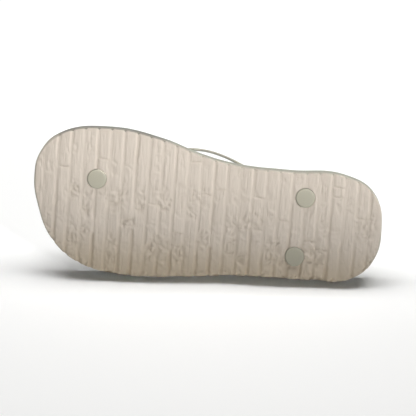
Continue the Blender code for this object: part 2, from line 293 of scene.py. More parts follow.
# Outsole: boards across the foot, moulded to look like old planking, all in mm.
boards = {
    "grooveCount": 26,
    "grooveFirst": -113.6,
    "groovePitch": 8.97,
    "grooveToeSide": 2.0,
    "grooveHeelSide": 1.8,
    "grooveFloor": 0.4,
    "grooveWander": 0.4,
    "grooveRagged": 0.4,
    "grooveApart": 7.0,   # each groove and board takes its own row of the noise, this far from the next
    "boardApart": 13.0,
    "grooveDepth": 0.56,
    "deepDepth": 0.76,
    "deepEvery": 3,
    "grooveUneven": 0.45,   # by what share a groove's depth varies along it
    "outerDeeper": 0.75,   # the grooves grow deeper by this share towards the outer side
    "outerRamp": (4.0, 30.0),
    "edgeDeeper": 0.7,   # and by this share more close to the outer edge
    "edgeRamp": (32.0, 14.0),
    "notchDepth": 1.1,
    "notchHalf": 1.3,
    "notchHigh": 3.2,
    "notchSoft": 0.5,
    "notchReach": 112.0,
    "rimShare": 0.6,   # how much of a notch the rim's own inset already gives
    "treadHigh": 2.0,   # up to here the mesh takes the relief
    "plugClear": 0.25,
    # places of the mesh's columns over a groove, how many steps to the next groove, and the toe's spacing
    "columnsOver": [-2.1, -1.7, -1.3, -0.95, -0.65, -0.35, 0.0, 0.35, 0.7, 1.05, 1.4, 1.8],
    "columnSteps": 11,
    "columnToe": 0.55,
    "rowPitch": 0.66,
    "rimRound": 0.9,
    "rimScale": (0.8, 1.2),   # the least, and what the outer side and the toe add
    "rimOuterRamp": (-15.0, 45.0),
    "rimToeRamp": (-96.0, -16.0),
    "wallHeights": [2.1, 2.5, 2.9, 3.2, 3.45],
    # stretches where a shallow groove is closed: groove number and from, to across the foot
    "closed": [
        (3, 14.0, 24.0), (4, 16.0, 28.0), (6, -4.0, 6.0), (7, 8.0, 24.0), (9, -8.0, 8.0),
        (10, 24.0, 36.0), (12, -6.0, 4.0), (13, 20.0, 32.0), (15, 8.0, 18.0), (18, 22.0, 34.0),
        (19, -8.0, -2.0), (21, 24.0, 36.0), (24, 2.0, 10.0), (25, 11.0, 30.0),
    ],
    "closedFade": 2.4,
    "closedShare": 0.75,
    # butt ends: board number and place across the foot
    "joints": [
        (2, -18.0), (3, 34.4), (5, -25.0), (6, 4.5), (7, 15.6), (7, 19.6), (9, 3.7), (9, 33.3),
        (11, 22.6), (11, 31.9), (12, -27.5), (13, -5.6), (14, -9.6), (15, 34.0), (16, 16.5),
        (17, -6.1), (17, 16.5), (19, 8.6), (20, 40.5), (21, 21.5), (22, 37.4), (23, -17.3),
        (23, -10.7), (25, 3.3), (25, 14.5),
    ],
    "jointDepth": 0.6,
    "jointHalf": 1.0,
    "jointSoft": 0.85,
    "jointSlant": 0.3,
    "jointHewn": (0.45, 0.6),   # what share a joint loses where the surface is cut this deep
    # hewn patches: middle, half size along the foot and across it, turn in degrees
    "hewn": [
        (-93.7, -1.3, 6.1, 7.9, 0.0), (-82.7, 5.3, 4.2, 9.9, 0.0), (-63.1, 3.0, 8.4, 8.5, 20.0),
        (-55.1, 17.2, 6.1, 3.6, 0.0), (-47.2, 2.6, 3.9, 7.6, 0.0), (-30.8, -0.6, 5.5, 9.0, -15.0),
        (-63.7, 38.4, 4.2, 11.8, 0.0), (-32.7, 35.2, 10.0, 10.8, 30.0), (-18.0, 37.4, 4.2, 8.2, 0.0),
        (-8.8, 1.3, 5.0, 12.8, 12.0), (-2.6, 26.9, 4.5, 7.4, 0.0), (17.1, 14.2, 5.8, 8.5, 0.0),
        (17.6, 29.8, 4.2, 6.6, 15.0), (30.2, 10.7, 7.7, 6.6, 0.0), (45.7, 29.3, 5.5, 10.8, 0.0),
        (54.9, 37.7, 4.5, 5.3, 0.0), (75.8, 29.8, 9.4, 9.9, 10.0), (80.8, 9.4, 4.2, 9.0, 0.0),
        (107.9, 9.8, 8.4, 10.2, 0.0), (-84.7, 26.0, 4.2, 4.3, 0.0), (26.2, 37.4, 4.2, 4.6, 0.0),
        (-92.3, 29.0, 4.8, 8.2, 0.0),
    ],
    "hewnEdge": (1.25, 0.5),   # where a patch ends, as a share of its size, and how softly
    "hewnInGroove": (0.4, 0.15),   # how far the cuts run on into a groove, and how much they blur it
    "hewnDepth": 0.62,
    "outerRougher": 0.55,   # and the hewn patches are rougher by this share on the outer side
    "dentDepth": 0.4,
    "dentRise": (0.1, 0.006, 0.25),   # how common dents are, how that grows outwards, and their softness
    "plankLow": (0.05, 0.12),   # how low a plank sits at least, and what chance adds
    "lean": 0.3,
    "pillow": 0.16,
    "streakDepth": 0.36,
    "streakNarrow": 3.2,
    "streakLevel": (0.6, 0.8),
    "endDrop": 0.7,   # how far a board's end is rounded off at the outer side
    "endLength": (1.4, 2.2),   # from where, at least, and what chance adds
    "endSoft": 2.2,
    "endRamp": (8.0, 24.0),
    "endTorn": 0.9,   # how deep the little tears are at those ends
    "tornLevel": (2.4, 0.1, 0.4),   # how sharp, how common, and how far one may stand up
    "tornWithin": (4.4, 2.6),   # how near to the outline, and how softly
    "tornRamp": (14.0, 16.0),
    "endShort": 0.8,   # how far a board may stop short of the outer edge
    "shortRamp": (10.0, 20.0),
    "deepest": 2.0,
    # where the painted shade towards the outer edge starts, and over what length
    "outerShadeRamp": (18.0, 38.0),
    "sideRamp": (0.0, 0.7),
    "smoothAngle": 38.0,
    # the scoops of an adze: how far they are pushed out of line, how strong each size is, and a blunt bottom
    "adze": {
        "push": (2.6, 3.0),
        "level": 0.42,
        "scoops": 0.95,
        "small": 0.75,
        "crease": 0.35,
        "creaseNarrow": 4.0,
        "bluntFrom": 0.95,
        "bluntShare": 0.35,
    },
    # smooth noise of the relief: its wavelength along and across the foot in mm, and its seed
    "ripples": {
        "grooveWander": (1.0, 11.0, 3.1),
        "grooveRagged": (3.1, 2.6, 8.4),
        "grooveUneven": (1.0, 16.0, 5.3),
        "pushAlong": (9.0, 9.0, 60.0),
        "pushAcross": (8.0, 8.0, 64.0),
        "scoops": (5.4, 4.4, 40.0),
        "small": (2.7, 2.4, 44.0),
        "crease": (6.4, 5.2, 48.0),
        "streak": (2.3, 26.0, 12.0),
        "streakLevel": (6.0, 9.0, 17.0),
        "dent": (8.0, 12.0, 31.0),
        "torn": (2.4, 2.0, 52.0),
    },
}
grooveMiddles = boards["grooveFirst"] + boards["groovePitch"] * np.arange(boards["grooveCount"])


def waves(flat, name):
    # between -1 and 1
    along, across, seed = boards["ripples"][name]
    return np.array([noise.noise((x / along, y / across, seed)) for x, y in flat])


def chances(first, second, seed):
    # one steady value between 0 and 1 for each pair of numbers
    return np.array([noise.cell((a, b, seed)) for a, b in zip(first, second)])


def boardColumns():
    # closer together over a groove, wider over the boards
    over = boards["columnsOver"]
    low, high = sole["gridAlong"]
    between = np.linspace(over[-1], boards["groovePitch"] + over[0], boards["columnSteps"])[1:-1]
    columns = [middle + step for middle in grooveMiddles for step in over + list(between)]
    columns += list(np.arange(low, grooveMiddles[0] + over[0] - 0.1, boards["columnToe"]))
    return np.array(sorted(x for x in columns if x < high))


def grooveShare(flat):
    # 0 on the boards and 1 along a groove's floor, and which groove is nearest. The flank towards the heel
    # is short and the one towards the toe long, so that it catches the light.
    x, y = flat[:, 0], flat[:, 1]
    nearest = np.rint((x - grooveMiddles[0]) / boards["groovePitch"])
    nearest = np.clip(nearest, 0, boards["grooveCount"] - 1).astype(int)
    alongGroove = np.column_stack([nearest * boards["grooveApart"], y])
    wander = waves(alongGroove, "grooveWander") * boards["grooveWander"]
    ragged = waves(flat, "grooveRagged") * boards["grooveRagged"]
    away = x - grooveMiddles[nearest] - wander
    halfFloor = boards["grooveFloor"] / 2
    toe = (boards["grooveToeSide"] + away + ragged) / (boards["grooveToeSide"] - halfFloor)
    heel = (boards["grooveHeelSide"] - away + ragged) / (boards["grooveHeelSide"] - halfFloor)
    share = smoothRamp(toe) * smoothRamp(heel)
    fade = boards["closedFade"]
    for groove, low, high in boards["closed"]:
        here = nearest == groove
        inside = smoothRamp((y[here] - low) / fade) * smoothRamp((high - y[here]) / fade)
        share[here] *= 1.0 - inside * boards["closedShare"]
    return share, nearest


def grooveDepth(y, nearest):
    full = np.where(nearest % boards["deepEvery"] == 1, boards["deepDepth"], boards["grooveDepth"])
    alongGroove = np.column_stack([nearest * boards["grooveApart"], y])
    full *= 1.0 + boards["grooveUneven"] * waves(alongGroove, "grooveUneven")
    outer = boards["outerDeeper"] * rampFrom(y, boards["outerRamp"])
    return full * (1.0 + outer + boards["edgeDeeper"] * rampFrom(y, boards["edgeRamp"]))


def hewnShare(flat):
    share = np.zeros(len(flat))
    size, soft = boards["hewnEdge"]
    for x, y, along, across, turn in boards["hewn"]:
        angle = math.radians(turn)
        away = flat - (x, y)
        u = (away[:, 0] * math.cos(angle) + away[:, 1] * math.sin(angle)) / along
        v = (-away[:, 0] * math.sin(angle) + away[:, 1] * math.cos(angle)) / across
        share = np.maximum(share, smoothRamp((size - np.sqrt(u * u + v * v)) / soft))
    return share


def hewnCuts(flat):
    # shallow scoops 3 to 6 mm wide, as an adze leaves them, with a crease here and there between two
    adze = boards["adze"]
    pushed = flat.copy()
    pushed[:, 0] += adze["push"][0] * waves(flat, "pushAlong")
    pushed[:, 1] += adze["push"][1] * waves(flat, "pushAcross")
    crease = np.clip(1.0 - np.abs(waves(pushed, "crease")) * adze["creaseNarrow"], 0.0, 1.0)
    cut = adze["level"] + adze["scoops"] * waves(pushed, "scoops") + adze["small"] * waves(pushed, "small")
    cut += adze["crease"] * crease
    blunt = adze["bluntFrom"] + adze["bluntShare"] * (cut - adze["bluntFrom"])
    return np.where(cut > adze["bluntFrom"], blunt, cut)


def boardRelief(flat, deep):
    # depth below the tread plane in mm, at each point and at this distance inside the outline
    x, y = flat[:, 0], flat[:, 1]
    inGroove, nearest = grooveShare(flat)
    full = grooveDepth(y, nearest)
    board = np.floor((x - grooveMiddles[0]) / boards["groovePitch"]).astype(int) + 1
    left = grooveMiddles[0] + (board - 1) * boards["groovePitch"]
    over = (x - left) / boards["groovePitch"] * 2.0 - 1.0   # -1 to 1 across the board
    # planks between the butt ends sit a little lower or higher, and lean a little
    plank = np.zeros(len(flat))
    joint = np.zeros(len(flat))
    for number, place in boards["joints"]:
        here = board == number
        slant = place + boards["jointSlant"] * over[here] * (1 if number % 2 else -1)
        plank[here] += y[here] > slant
        gap = (boards["jointHalf"] - np.abs(y[here] - slant)) / boards["jointSoft"]
        joint[here] = np.maximum(joint[here], smoothRamp(gap))
    least, more = boards["plankLow"]
    low = least + more * chances(board * 3.7, plank * 5.3, 1.5)
    lean = boards["lean"] * (chances(board * 3.7, plank * 5.3, 4.5) - 0.5)
    # boards worn round, with one or two long streaks along each
    surface = low + lean * over + boards["pillow"] * over**4
    ownRow = np.column_stack([x + board * boards["boardApart"], y])
    streak = np.clip(1.0 - np.abs(waves(ownRow, "streak")) * boards["streakNarrow"], 0.0, 1.0)
    least, more = boards["streakLevel"]
    surface += boards["streakDepth"] * streak**2 * (least + more * waves(flat, "streakLevel"))
    # hewn patches run over boards and closed grooves alike
    hewn = hewnShare(flat)
    cuts = hewnCuts(flat)
    rougher = 1.0 + boards["outerRougher"] * rampFrom(y, boards["outerRamp"])
    surface += boards["hewnDepth"] * rougher * hewn * cuts
    # and here and there a shallow dent anywhere
    common, outwards, soft = boards["dentRise"]
    worn = smoothRamp((waves(flat, "dent") + common + outwards * y) / soft)
    surface += boards["dentDepth"] * np.clip(cuts, 0.0, 1.0) * worn
    surface = np.maximum(surface, 0.0)
    # a joint shows less where the surface is hewn away
    lost, cutDeep = boards["jointHewn"]
    surface += boards["jointDepth"] * joint * (1.0 - lost * smoothRamp(surface / cutDeep))
    # the cuts run on into the grooves beside them, and blur them a little
    runOn, blur = boards["hewnInGroove"]
    depth = np.maximum(surface * (1.0 - inGroove * (1.0 - runOn * hewn)), 0.0)
    depth += inGroove * full * (1.0 - blur * hewn)
    # each board ends at its own distance from the outer edge, a little torn
    least, more = boards["endLength"]
    ends = least + more * chances(board * 2.3, np.full(len(board), 1.5), 8.5)
    drop = boards["endDrop"] * smoothRamp((ends - deep) / boards["endSoft"])
    depth += drop * rampFrom(y, boards["endRamp"]) * (1.0 - inGroove)
    strength, common, raised = boards["tornLevel"]
    torn = np.clip(waves(flat, "torn") * strength + common, -raised, 1.0)
    within, soft = boards["tornWithin"]
    torn = boards["endTorn"] * torn * smoothRamp((within - deep) / soft)
    depth += torn * rampFrom(y, boards["tornRamp"])
    return np.clip(depth, 0.0, boards["deepest"])


def sideNotches(flat, height, deep):
    # a small notch up the side at both ends of each groove
    away = np.min(np.abs(flat[:, 0, None] - grooveMiddles[None]), axis=1)
    notch = np.clip(1.0 - away / boards["notchHalf"], 0.0, 1.0) * boards["notchDepth"]
    # and every board stops a little short of the outer edge, each by its own measure
    board = np.floor((flat[:, 0] - grooveMiddles[0]) / boards["groovePitch"])
    short = chances(board * 4.1, np.full(len(board), 2.5), 6.5) * boards["endShort"]
    notch = np.maximum(notch, short * rampFrom(flat[:, 1], boards["shortRamp"]))
    soft = boards["notchSoft"]
    belowTop = smoothRamp((boards["notchHigh"] + soft / 2.0 - height) / soft)
    return notch * belowTop * (deep < 1.0) * (np.abs(flat[:, 0]) < boards["notchReach"])


def sideLitShare(x):
    # the sole's side is painted in shade along the inner ball, and painted lighter at the toe tip and from
    # the waist back, where more light falls on it
    return np.maximum(rampFrom(x, sole["sideLitToe"]), rampFrom(x, sole["sideLitWaist"]))


def outsoleRim(near):
    # rounder at the toe and along the outer side than along the inner side
    least, more = boards["rimScale"]
    outer = rampFrom(near[:, 1], boards["rimOuterRamp"])
    return least + more * np.maximum(outer, rampFrom(near[:, 0], boards["rimToeRamp"]))


rimSteps = [(1.0 - math.sin(a), 1.0 - math.cos(a)) for a in np.radians((0.0, 22.5, 45.0, 67.5, 90.0))]


def makeOutsole():
    rows = np.arange(*sole["gridAcross"], boards["rowPitch"])
    rim = [(boards["rimRound"] * inset, boards["rimRound"] * up) for inset, up in rimSteps]
    thick = sole["outsoleThick"]
    wall = [(0.0, up) for up in boards["wallHeights"] + [thick - 0.35]]
    wall += [(0.06, thick - 0.1), (0.3, thick)]   # a small round at the back
    piece = makeLayer("outsole_boards", boardColumns(), rows, rim, wall, outsoleRim)
    past, fit = sole["cutPast"], sole["fitGap"]
    seat = sole["plugThick"] - sole["plugProud"] + fit
    wide = sole["plugRadius"] + fit
    cutters = [addPost(x, y, -past, seat, wide, sole["plugSides"]) for x, y in sole["plugs"]]
    booleanWith(piece, joinAll(cutters), "DIFFERENCE")
    cutStems(piece, thick)
    places = getPlaces(piece) / mm
    flat, height = places[:, :2], places[:, 2]
    deep, _, way = toOutline(flat)
    # the tread face and the round of its rim take the relief
    fromPlug = np.min([np.hypot(flat[:, 0] - x, flat[:, 1] - y) for x, y in sole["plugs"]], axis=0)
    tread = (height < boards["treadHigh"]) & (fromPlug > sole["plugRadius"] + boards["plugClear"])
    depth = np.zeros(len(places))
    depth[tread] = boardRelief(flat[tread], deep[tread])
    # a trace of each ring's own height stays in it, so that no two rings fall together
    onRim = np.maximum(height[tread], depth[tread] * 0.98 + 0.02 * height[tread])
    lifted = height.copy()
    lifted[tread] = np.where(height[tread] < 0.01, depth[tread], onRim)
    notch = sideNotches(flat, height, deep)
    moved = flat + way * np.clip(notch - deep * boards["rimShare"], 0.0, None)[:, None]
    setPlaces(piece, np.column_stack([moved, lifted + soleRise(moved[:, 0])]) * mm)
    writeShare(piece, "reliefDepth", depth)
    # the side is painted in shade, darkest along the inner ball
    writeShare(piece, "sideShare", rampFrom(height, boards["sideRamp"]) * (deep < 2.0))
    # painted shade, darker and browner towards the outer edge
    writeShare(piece, "outerShadeShare", rampFrom(flat[:, 1], boards["outerShadeRamp"]) * (height < 4.0))
    # and the side is painted lighter at the toe tip and from the waist back, as painted light
    writeShare(piece, "sideLitShare", sideLitShare(flat[:, 0]))
    pickOnly(piece)
    bpy.ops.object.shade_smooth_by_angle(angle=math.radians(boards["smoothAngle"]))
    return piece


def cutStems(piece, thick):
    past, wide = sole["cutPast"], sole["stemRadius"] + sole["fitGap"]
    cutters = [addPost(x, y, -past, thick + past, wide, sole["stemSides"]) for x, y in sole["plugs"]]
    booleanWith(piece, joinAll(cutters), "DIFFERENCE")


outsole = makeOutsole()
layDown(outsole)
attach(outsole, "root")
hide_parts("outsole")
print("outsole:", len(outsole.data.vertices), "points,", len(outsole.data.polygons), "faces")


# Footbed: the thick soft layer on top, all in mm.
footbed = {
    "pitch": 1.7,
    "rimRound": 1.8,
    "wallHeights": [3.0, 5.0, 7.0],
    "topInset": (0.4, 2.0),   # the pebbled top starts here inside the edge, and how softly
    "smoothAngle": 38.0,
}


def makeFootbed():
    thick = sole["footbedFront"]
    columns = np.arange(*sole["gridAlong"], footbed["pitch"])
    rows = np.arange(*sole["gridAcross"], footbed["pitch"])
    rim = [(footbed["rimRound"] * inset, footbed["rimRound"] * up) for inset, up in rimSteps]
    wall = [(0.0, up) for up in footbed["wallHeights"] + [thick - 0.4]]
    wall += [(0.12, thick - 0.1), (0.4, thick)]
    piece = makeLayer("footbed_foam", columns, rows, rim, wall, lambda near: np.ones(len(near)))
    cutStems(piece, thick)
    places = getPlaces(piece) / mm
    x = places[:, 0]
    share = 1.0 - places[:, 2] / thick   # the face was made downwards, so it is turned over here
    base = soleRise(x) + sole["outsoleThick"] + sole["glueGap"]
    top = rampFrom(toOutline(places[:, :2])[0], footbed["topInset"]) * (share > 0.9)
    writeShare(piece, "topShare", top)
    # the side's painted light: paler at the toe tip and from the waist back
    writeShare(piece, "sideLitShare", sideLitShare(x) * (1.0 - top))
    places[:, 2] = base + share * footbedThick(x)
    setPlaces(piece, places * mm)
    turnOutwards(piece)
    bpy.ops.object.shade_smooth_by_angle(angle=math.radians(footbed["smoothAngle"]))
    return piece


foam = makeFootbed()
layDown(foam)
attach(foam, "root")
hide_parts("footbed")
print("footbed:", len(foam.data.vertices), "points")


# Strap. The rows give the middle line and section of each length, front to back: X, Y, Z, broad, thick
# (mm) and lean (degrees).
strap = {
    "post": [
        (-75.6, -11.0, 30.6, 5.6, 4.8, 0.0), (-75.9, -11.0, 27.0, 5.2, 4.6, 0.0),
        (-76.9, -10.9, 20.0, 5.0, 4.8, 0.0), (-77.1, -10.9, 14.3, 6.0, 6.0, 0.0),
    ],
    "innerLimb": [
        (-75.6, -11.2, 30.9, 4.8, 4.4, 46.0), (-67.0, -13.4, 33.6, 6.2, 3.8, 48.0),
        (-47.0, -20.8, 39.0, 7.2, 2.7, 36.0), (-25.0, -27.7, 42.6, 7.8, 2.1, 18.0),
        (-7.0, -29.1, 43.9, 8.2, 1.9, 11.0), (10.0, -25.8, 41.1, 8.4, 1.9, 10.5),
        (30.0, -18.2, 34.0, 8.6, 2.3, 8.0), (49.0, -11.8, 26.0, 8.4, 3.0, 4.0),
        (60.0, -9.6, 21.9, 7.6, 3.6, 2.0), (64.5, -8.7, 20.0, 6.2, 4.6, 0.0),
        (65.9, -8.4, 17.0, 5.2, 5.2, 0.0),
    ],
    "outerLimb": [
        (-75.6, -10.8, 30.9, 4.8, 4.4, 46.0), (-67.4, -7.0, 33.6, 6.2, 3.8, 48.0),
        (-50.0, 7.4, 37.4, 7.2, 2.7, 38.0), (-31.0, 22.4, 40.0, 7.8, 2.1, 22.0),
        (-10.0, 34.6, 41.2, 8.2, 2.0, 14.0), (11.0, 40.2, 40.2, 8.4, 2.1, 10.5),
        (30.0, 40.4, 34.8, 8.6, 2.4, 8.0), (46.0, 37.8, 27.0, 8.4, 3.0, 4.0),
        (56.4, 34.8, 22.0, 7.6, 3.6, 2.0), (60.5, 33.4, 20.0, 6.2, 4.6, 0.0),
        (61.7, 32.9, 17.0, 5.2, 5.2, 0.0),
    ],
    "knob": (-75.5, -11.0, 30.7, 3.3),   # the round head of the toe post: place and radius
    "steps": 12,
    "sides": 32,
    "square": 0.62,   # 1 gives an oval section, less a squarer one
    "stemLow": 12.0,
    "stemTop": 18.4,
    "plugStemTops": [16.0, 13.0, 13.0],
    "plugRound": 1.0,
    "plugRoundSteps": 6,
    "grain": 0.42,
    "relax": (0.5, 7),
    "paleBelow": 4.5,
    "outerPlugUnshaded": (20.0, 0.75),   # past this Y, the plug keeps its own paler grey by this share, the rest is painted shade
    "smoothAngle": 40.0,
}


def smoothRows(rows, steps):
    rows = [np.array(row) for row in rows]
    filled = []
    for number in range(len(rows) - 1):
        p0, p1 = rows[max(number - 1, 0)], rows[number]
        p2, p3 = rows[number + 1], rows[min(number + 2, len(rows) - 1)]
        for t in np.arange(steps) / steps:
            bend = (2 * p0 - 5 * p1 + 4 * p2 - p3) * t**2
            filled.append(0.5 * (2 * p1 + (p2 - p0) * t + bend + (3 * p1 - p0 - 3 * p2 + p3) * t**3))
    filled.append(rows[-1])
    return filled


def sweepBand(name, rows, inward):
    # a rounded band carried along its middle line
    filled = smoothRows(rows, strap["steps"])
    middles = [Vector(row[:3]) for row in filled]
    sides = strap["sides"]
    points = []
    for number, row in enumerate(filled):
        along = (middles[min(number + 1, len(filled) - 1)] - middles[max(number - 1, 0)]).normalized()
        upright = (Vector((0.0, 0.0, 1.0)) - along * along.z).normalized()
        sideways = upright.cross(along) * inward
        lean = math.radians(row[5])
        broadWay = upright * math.cos(lean) + sideways * math.sin(lean)
        thickWay = along.cross(broadWay)
        for side in range(sides):
            angle = 2.0 * math.pi * (side + 0.5) / sides
            c, s = math.cos(angle), math.sin(angle)
            out = math.copysign(abs(c) ** strap["square"], c) * row[3] / 2
            off = math.copysign(abs(s) ** strap["square"], s) * row[4] / 2
            points.append((middles[number] + broadWay * out + thickWay * off) * mm)
    faces = []
    for ring in range(len(filled) - 1):
        for side in range(sides):
            a, b = ring * sides + side, ring * sides + (side + 1) % sides
            faces.append((a, b, b + sides, a + sides))
    faces.append(tuple(range(sides)))
    faces.append(tuple(len(points) - sides + side for side in range(sides)))
    mesh = bpy.data.meshes.new(name)
    mesh.from_pydata([tuple(point) for point in points], [], faces)
    band = bpy.data.objects.new(name, mesh)
    bpy.context.scene.collection.objects.link(band)
    turnOutwards(band)
    return band


def addPlug(x, y, stemTop):
    # a disc with a rounded lower rim, and the stem that it is moulded on
    low = float(soleRise(np.array(x))) - sole["plugProud"]
    plug = addPost(x, y, low, low + sole["plugThick"], sole["plugRadius"], sole["plugSides"])
    bpy.ops.object.mode_set(mode="EDIT")
    bpy.ops.mesh.select_all(action="DESELECT")
    bpy.ops.object.mode_set(mode="OBJECT")
    selectVerts(plug, getPlaces(plug)[:, 2] < (low + 0.1) * mm)
    bpy.ops.object.mode_set(mode="EDIT")
    bpy.ops.mesh.bevel(offset=strap["plugRound"] * mm, segments=strap["plugRoundSteps"], affect="EDGES")
    bpy.ops.mesh.select_all(action="DESELECT")
    bpy.ops.object.mode_set(mode="OBJECT")
    stem = addPost(x, y, low + sole["plugThick"] / 2, stemTop, sole["stemRadius"], sole["stemSides"])
    booleanWith(plug, stem, "UNION")
    return plug


def makeStrap():
    piece = sweepBand("strap_moulded", strap["outerLimb"], -1.0)
    booleanWith(piece, sweepBand("innerLimb", strap["innerLimb"], 1.0), "UNION")
    booleanWith(piece, sweepBand("post", strap["post"], 1.0), "UNION")
    x, y, z, radius = strap["knob"]
    bpy.ops.object.select_all(action="DESELECT")
    bpy.ops.mesh.primitive_uv_sphere_add(
        segments=32, ring_count=20, radius=radius * mm, location=(x * mm, y * mm, z * mm)
    )
    bpy.ops.object.transform_apply(location=True)
    booleanWith(piece, bpy.context.object, "UNION")
    for x, y in sole["plugs"][1:]:
        stem = addPost(x, y, strap["stemLow"], strap["stemTop"], sole["stemRadius"], sole["stemSides"])
        booleanWith(piece, stem, "UNION")
    # remeshed fine and relaxed, so that the limbs run into each other as they do out of a mould
    remesh = piece.modifiers.new("grain", "REMESH")
    remesh.mode = "VOXEL"
    remesh.voxel_size = strap["grain"] * mm
    pickOnly(piece)
    bpy.ops.object.modifier_apply(modifier=remesh.name)
    relax = piece.modifiers.new("relax", "SMOOTH")
    relax.factor, relax.iterations = strap["relax"]
    bpy.ops.object.modifier_apply(modifier=relax.name)
    for (x, y), stemTop in zip(sole["plugs"], strap["plugStemTops"]):
        booleanWith(piece, addPlug(x, y, stemTop), "UNION")
    # the limbs are painted darker than the plugs as painted shade, and the plug at the outer side partly so
    places = getPlaces(piece) / mm
    outerFrom, outerUnshaded = strap["outerPlugUnshaded"]
    plugUnshaded = np.where(places[:, 1] > outerFrom, outerUnshaded, 1.0)
    writeShare(piece, "unshadedShare", np.where(places[:, 2] < strap["paleBelow"], plugUnshaded, 0.0))
    pickOnly(piece)
    bpy.ops.object.shade_smooth_by_angle(angle=math.radians(strap["smoothAngle"]))
    return piece


pvc = makeStrap()
layDown(pvc)
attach(pvc, "root")
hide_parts("strap")
print("strap:", len(pvc.data.vertices), "points")


def fromHex(text):
    parts = [int(text[i:i + 2], 16) / 255 for i in (1, 3, 5)]
    return tuple(p / 12.92 if p <= 0.04045 else ((p + 0.055) / 1.055) ** 2.4 for p in parts) + (1.0,)


def addNode(tree, kind, settings=None, links=None):
    node = tree.nodes.new(kind)
    for key, value in (settings or {}).items():
        if key in node.inputs:
            node.inputs[key].default_value = value
        else:
            setattr(node, key, value)
    for key, source in (links or {}).items():
        tree.links.new(source, node.inputs[key])
    return node


def startMaterial(name):
    material = bpy.data.materials.new(name)
    material.use_nodes = True
    tree = material.node_tree
    tree.nodes.clear()
    shader = addNode(tree, "ShaderNodeBsdfPrincipled")
    addNode(tree, "ShaderNodeOutputMaterial", links={"Surface": shader.outputs["BSDF"]})
    # the shoe's own frame in mm, so that a pattern follows the boards and a scale of 1 is one to the mm
    back = lieDown.inverted()
    place = addNode(tree, "ShaderNodeTexCoord")
    inShoe = addNode(tree, "ShaderNodeMapping", {
        "vector_type": "POINT",
        "Location": back.to_translation() / mm,
        "Rotation": back.to_euler(),
        "Scale": (1.0 / mm, 1.0 / mm, 1.0 / mm),
    }, {"Vector": place.outputs["Object"]})
    return material, tree, shader, inShoe.outputs["Vector"]


rubberLook = {
    "cream": ("#cbc0b3", "#d6cbbe"),
    "grooveDark": "#b3a793",
    "side": ("#8e877b", "#b0a899"),   # painted shade at the inner ball, and painted light where more light falls on the side
    # painted shade towards the outer edge
    "outerShaded": "#c7b8a1",
    "roughness": 0.62,
}


def outsoleRubber():
    # Expanded rubber, pressed in a steel mould: cream, dull, faintly mottled, a little darker deeper in the
    # grooves, with the grain and pores of the old boards that it copies. Its side and its outer edge carry
    # painted shade.
    material, tree, shader, shoe = startMaterial("moulded_cream_rubber")
    # mottled in blotches of about 22 mm
    blotch = addNode(tree, "ShaderNodeTexNoise", {
        "Scale": 0.045, "Detail": 4.0, "Roughness": 0.6,
    }, {"Vector": shoe})
    tone = addNode(tree, "ShaderNodeMix", {
        "data_type": "RGBA", "A": fromHex(rubberLook["cream"][0]), "B": fromHex(rubberLook["cream"][1]),
    }, {"Factor": blotch.outputs["Fac"]})
    # darker deeper in the grooves
    depth = addNode(tree, "ShaderNodeAttribute", {"attribute_name": "reliefDepth"})
    deeperDarker = addNode(tree, "ShaderNodeMapRange", {
        "From Min": 0.3, "From Max": 1.0, "To Min": 0.0, "To Max": 0.16,
    }, {"Value": depth.outputs["Fac"]})
    shade = addNode(tree, "ShaderNodeMix", {
        "data_type": "RGBA", "B": fromHex(rubberLook["grooveDark"]),
    }, {"Factor": deeperDarker.outputs["Result"], "A": tone.outputs["Result"]})
    # the side is painted darker and greyer than the tread as painted shade, less so at the toe tip and from
    # the waist back as painted light
    fade = addNode(tree, "ShaderNodeAttribute", {"attribute_name": "sideLitShare"})
    sideTone = addNode(tree, "ShaderNodeMix", {
        "data_type": "RGBA", "A": fromHex(rubberLook["side"][0]), "B": fromHex(rubberLook["side"][1]),
    }, {"Factor": fade.outputs["Fac"]})
    side = addNode(tree, "ShaderNodeAttribute", {"attribute_name": "sideShare"})
    trimmed = addNode(tree, "ShaderNodeMix", {"data_type": "RGBA"}, {
        "Factor": side.outputs["Fac"], "A": shade.outputs["Result"], "B": sideTone.outputs["Result"],
    })
    # and painted shade, a little darker and browner, towards the outer edge
    outer = addNode(tree, "ShaderNodeAttribute", {"attribute_name": "outerShadeShare"})
    outerShaded = addNode(tree, "ShaderNodeMix", {
        "data_type": "RGBA", "B": fromHex(rubberLook["outerShaded"]),
    }, {"Factor": outer.outputs["Fac"], "A": trimmed.outputs["Result"]})
    tree.links.new(outerShaded.outputs["Result"], shader.inputs["Base Color"])
    shader.inputs["Roughness"].default_value = rubberLook["roughness"]
    shader.inputs["IOR"].default_value = 1.5
    # wood grain 0.6 mm apart and 11 mm long, moulded along the boards, and pores of 0.45 mm
    stretch = addNode(tree, "ShaderNodeMapping", {"Scale": (1.6, 0.09, 0.2)}, {"Vector": shoe})
    grain = addNode(tree, "ShaderNodeTexNoise", {
        "Scale": 1.0, "Detail": 5.0, "Roughness": 0.65,
    }, {"Vector": stretch.outputs["Vector"]})
    pores = addNode(tree, "ShaderNodeTexNoise", {
        "Scale": 2.2, "Detail": 3.0, "Roughness": 0.7,
    }, {"Vector": shoe})
    grainBump = addNode(tree, "ShaderNodeBump", {
        "Strength": 0.8, "Distance": 0.45 * mm,
    }, {"Height": grain.outputs["Fac"]})
    poreBump = addNode(tree, "ShaderNodeBump", {
        "Strength": 0.25, "Distance": 0.12 * mm,
    }, {"Height": pores.outputs["Fac"], "Normal": grainBump.outputs["Normal"]})
    tree.links.new(poreBump.outputs["Normal"], shader.inputs["Normal"])
    return material


foamLook = {
    # the foam's grey-green, taken darker than its own colour as painted shade for its side
    "grey": ("#6e6d66", "#7e7d74"),
    # painted light: the side's paler colour at the toe tip and from the waist back
    "paintedLightMix": "#959488",
    "gaps": "#5f5e56",
    "roughness": 0.75,
}


